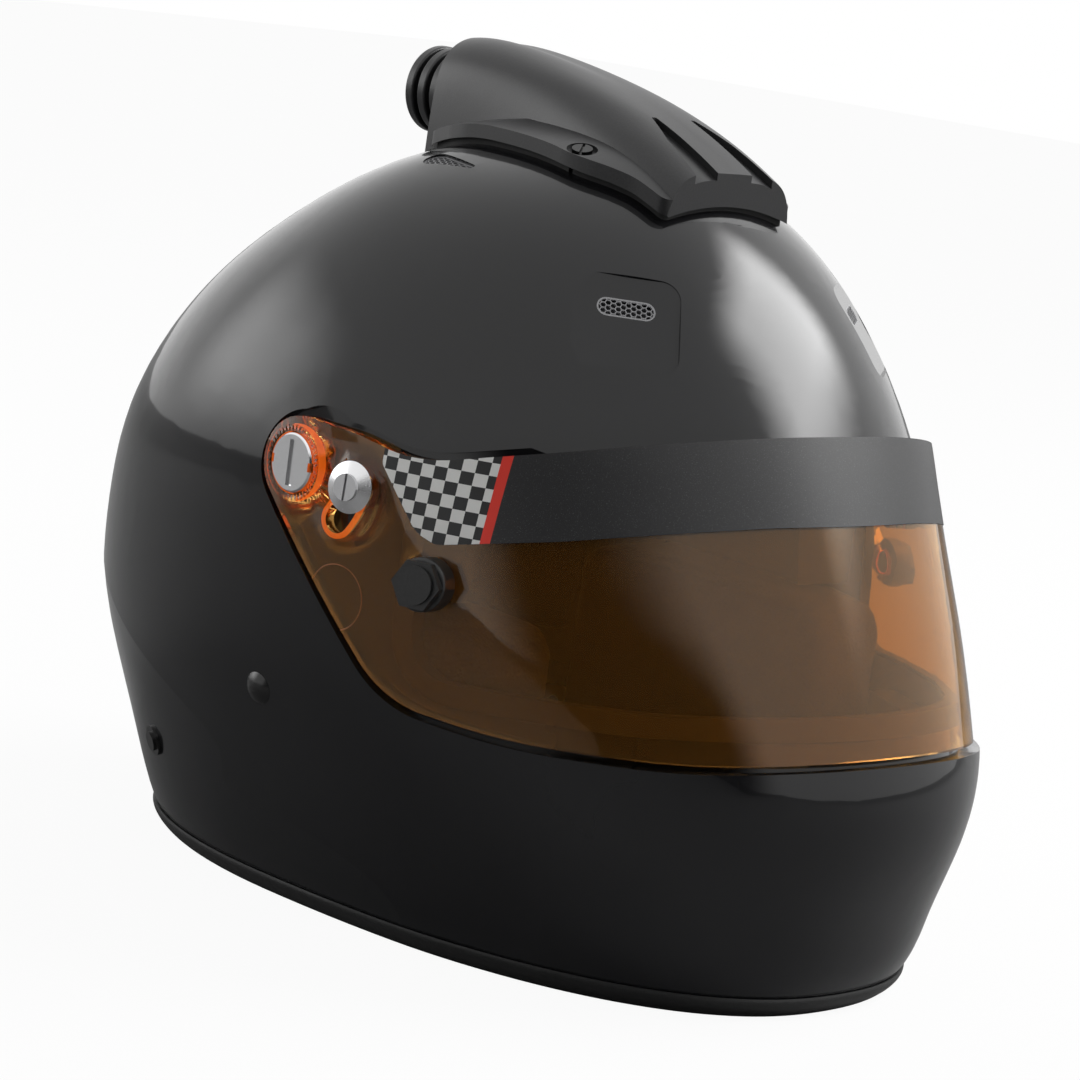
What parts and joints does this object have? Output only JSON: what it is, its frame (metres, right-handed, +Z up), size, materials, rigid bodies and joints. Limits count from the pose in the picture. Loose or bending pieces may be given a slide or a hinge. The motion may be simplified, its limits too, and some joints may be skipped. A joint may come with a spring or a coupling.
{
  "type": "auto racing helmet",
  "caption": "Full-face auto racing helmet with a hinged amber shield, top air inlet with hose spigot, padded lining and a chin strap that swings.",
  "frame": {"origin": "middle of the bounding box at the plane that the base edge rests on", "axes": "+Z up, the face looks along -Y, +X is the wearer's left"},
  "size_m": [0.2654, 0.3622, 0.3015],
  "materials": {
    "shell_gloss": "clear-coated gloss black",
    "trim_rubber": "satin",
    "gasket_rubber": "matte",
    "impact_foam": "moulded bead foam, matte",
    "lining_fabric": "brushed knit",
    "shield_amber": "clear amber polycarbonate, gloss",
    "strip_black": "satin film",
    "fitting_black": "satin",
    "steel": "satin",
    "steel_dark": "black oxide",
    "aluminium": "turned, bright",
    "washer_bright": "bright machined",
    "rivet_black": "gloss black",
    "webbing": "woven",
    "mesh_grey": "satin",
    "scoop_satin": "satin",
    "gasket_foam": "closed-cell foam, matte"
  },
  "bodies": {
    "helmet": {"outer_shell": "shell_gloss", "base_edge_trim": "trim_rubber", "eyeport_gasket": "gasket_rubber", "impact_liner": "impact_foam", "chin_bar_liner": "impact_foam", "comfort_liner": "lining_fabric", "brow_pad": "lining_fabric", "cheek_pad_left": "lining_fabric", "cheek_pad_right": "lining_fabric", "neck_roll": "lining_fabric", "pivot_screws": "aluminium", "pivot_bases": "fitting_black", "lock_bases": "fitting_black", "lock_washers": "washer_bright", "lock_screws": "steel", "strap_rivets": "rivet_black", "anchor_plugs": "rivet_black", "anchor_terminals": "steel", "forehead_vent_meshes": "mesh_grey", "crown_vent_meshes": "mesh_grey", "air_scoop": "scoop_satin", "hose_spigot": "scoop_satin", "scoop_gasket": "gasket_foam", "scoop_screws": "steel_dark", "scoop_well_nuts": "gasket_rubber"},
    "shield": {"face_shield": "shield_amber", "sun_strip": "strip_black", "tear_off_posts": "fitting_black", "tear_off_post_caps": "fitting_black", "tear_off_post_screws": "steel"},
    "chin_strap": {"chin_strap_long": "webbing", "chin_strap_short": "webbing", "d_rings": "steel", "strap_hanger_plates": "steel"}
  },
  "joints": [
    {"name": "shield_pivot", "type": "hinge", "parent": "helmet", "child": "shield", "pos_m": [0, -0.006, 0.1585], "axis": [-1, 0, 0], "range_deg": [0, 28]},
    {"name": "chin_strap_swing", "type": "hinge", "parent": "helmet", "child": "chin_strap", "pos_m": [0, 0.0047, 0.078], "axis": [1, 0, 0], "range_deg": [-12, 12]}
  ]
}
